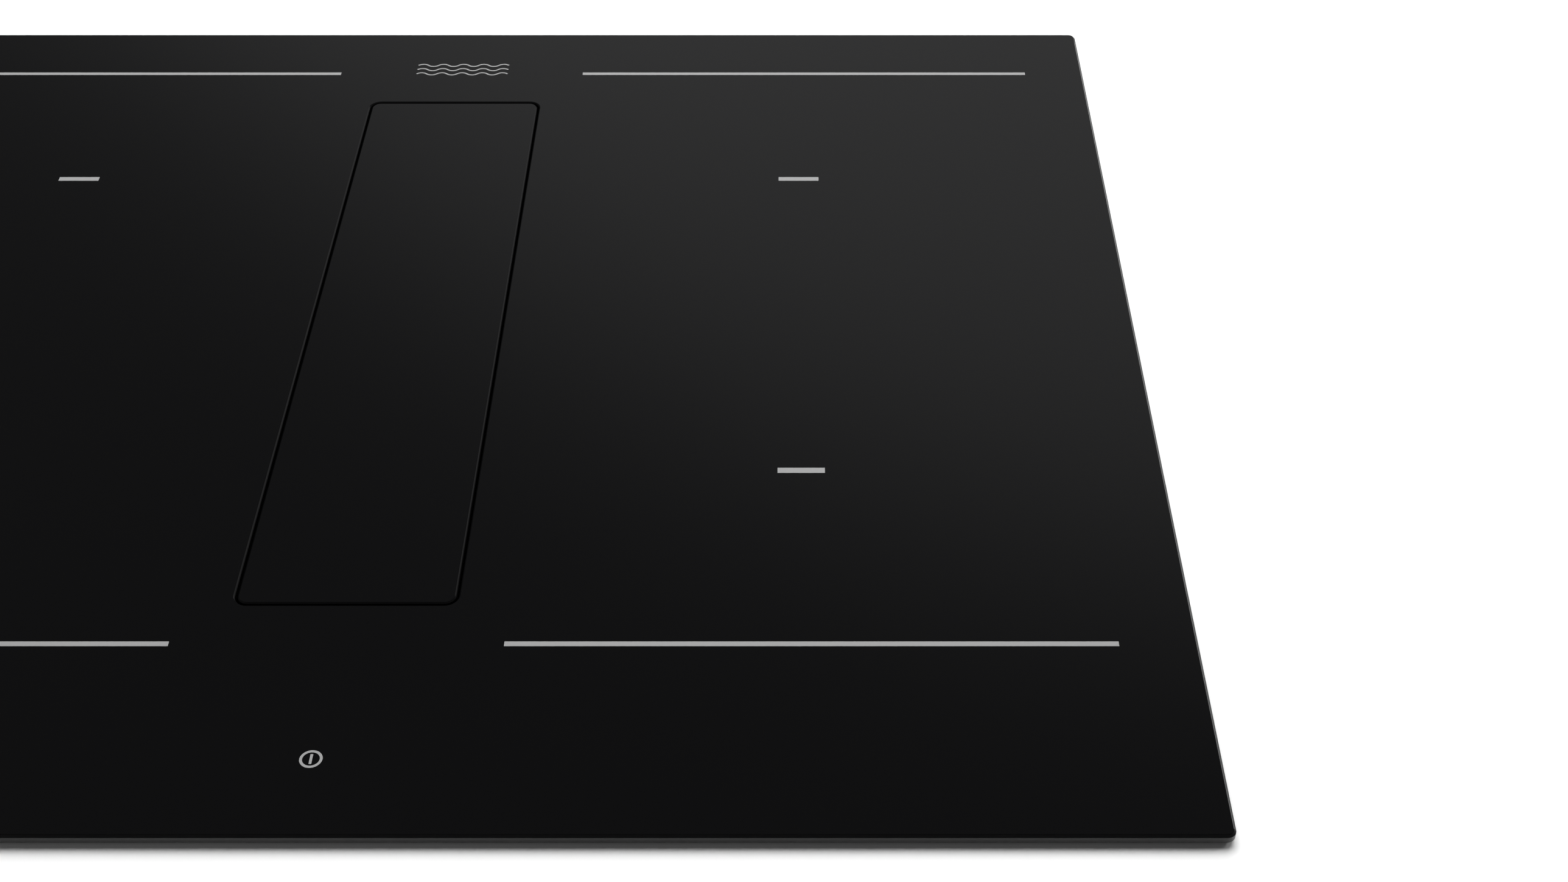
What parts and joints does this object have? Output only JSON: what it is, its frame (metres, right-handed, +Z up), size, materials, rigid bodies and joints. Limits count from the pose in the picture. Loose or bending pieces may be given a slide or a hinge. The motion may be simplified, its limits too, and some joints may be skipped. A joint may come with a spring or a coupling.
{
  "type": "electric induction cooktop",
  "caption": "Built-in induction cooktop: bevelled black glass over flat coils, with a tilting glass flap over a lift-out filter cassette, a downdraft blower and a rear flat-duct spigot.",
  "frame": {"origin": "centre of the plane where the foam seal under the glass rests on the worktop", "axes": "+X to the user's right, +Y to the back wall, +Z up out of the worktop"},
  "size_m": [0.6, 0.51, 0.203],
  "materials": {
    "black_glass": "polished opaque black glass-ceramic with ground edges",
    "grey_print": "fired grey ceramic print, satin",
    "foam_seal": "closed-cell foam",
    "silicone": "moulded silicone rubber",
    "stainless_sheet": "brushed stainless sheet",
    "zinc_steel": "zinc-plated steel",
    "black_plastic": "fine spark-eroded texture",
    "filter_mesh": "expanded aluminium mesh",
    "galvanised_steel": "galvanised, faint spangle",
    "aluminium_sheet": "mill finish",
    "copper_wire": "lacquered copper litz wire",
    "white_plastic": "glass-filled natural nylon",
    "ferrite": "sintered ferrite",
    "mica": "pressed mica",
    "sensor_ceramic": "white ceramic",
    "circuit_board": "green solder mask",
    "board_part_mix": "sleeved capacitors and chokes"
  },
  "bodies": {
    "root": {"glass_plate": "black_glass", "zone_lines": "grey_print", "zone_dashes": "grey_print", "touch_symbol": "grey_print", "air_symbol": "grey_print", "worktop_seal": "foam_seal", "intake_seal": "silicone", "intake_well": "black_plastic", "cassette_stirrups": "stainless_sheet", "glass_frame": "aluminium_sheet", "housing_tray": "galvanised_steel", "frame_screws": "zinc_steel", "side_clips": "stainless_sheet", "coil_back_left": "copper_wire", "coil_back_right": "copper_wire", "coil_front_left": "copper_wire", "coil_front_right": "copper_wire", "coil_formers": "white_plastic", "ferrite_bars": "ferrite", "mica_sheets": "mica", "temperature_sensors": "sensor_ceramic", "coil_tray_left": "aluminium_sheet", "coil_tray_right": "aluminium_sheet", "tray_springs": "zinc_steel", "power_board_left": "circuit_board", "power_board_right": "circuit_board", "board_carriers": "white_plastic", "board_parts": "board_part_mix", "heat_sink_left": "aluminium_sheet", "heat_sink_right": "aluminium_sheet", "fan_frame_left": "black_plastic", "fan_frame_right": "black_plastic", "control_cradle": "black_plastic", "control_board": "circuit_board", "touch_springs": "zinc_steel", "display_blocks": "white_plastic", "filter_board": "circuit_board", "terminal_block": "white_plastic", "terminal_cover": "black_plastic", "cable_gland": "black_plastic", "scroll": "black_plastic", "scroll_cover": "black_plastic", "motor_housing": "aluminium_sheet", "blower_feet": "silicone", "duct_outlet": "black_plastic", "lower_casing": "galvanised_steel", "casing_screws": "zinc_steel", "service_cover": "galvanised_steel"},
    "cassette": {"cassette_frame": "black_plastic", "filter_mesh_left": "filter_mesh", "filter_mesh_right": "filter_mesh", "grease_tub": "black_plastic"},
    "flap": {"flap_glass": "black_glass", "flap_carrier": "stainless_sheet", "flap_pins": "zinc_steel"},
    "impeller_wheel": {"impeller": "black_plastic", "motor_rotor": "ferrite", "motor_shaft": "zinc_steel"},
    "fan_left": {"fan_rotor_left": "black_plastic"},
    "fan_right": {"fan_rotor_right": "black_plastic"}
  },
  "joints": [
    {"name": "cassette_lift", "type": "slide", "parent": "root", "child": "cassette", "axis": [0, 0, 1], "range_m": [0, 0.12]},
    {"name": "flap_tilt", "type": "hinge", "parent": "cassette", "child": "flap", "pos_m": [0, 0.02025, -0.0022], "axis": [0, 1, 0], "range_deg": [0, 45]},
    {"name": "impeller_spin", "type": "hinge", "parent": "root", "child": "impeller_wheel", "pos_m": [0.075, 0.0595, -0.16], "axis": [0, 0, 1], "continuous": true},
    {"name": "fan_left_spin", "type": "hinge", "parent": "root", "child": "fan_left", "pos_m": [-0.2272, -0.08903, -0.04], "axis": [0, 0, 1], "continuous": true},
    {"name": "fan_right_spin", "type": "hinge", "parent": "root", "child": "fan_right", "pos_m": [0.2272, -0.08903, -0.04], "axis": [0, 0, 1], "continuous": true}
  ]
}
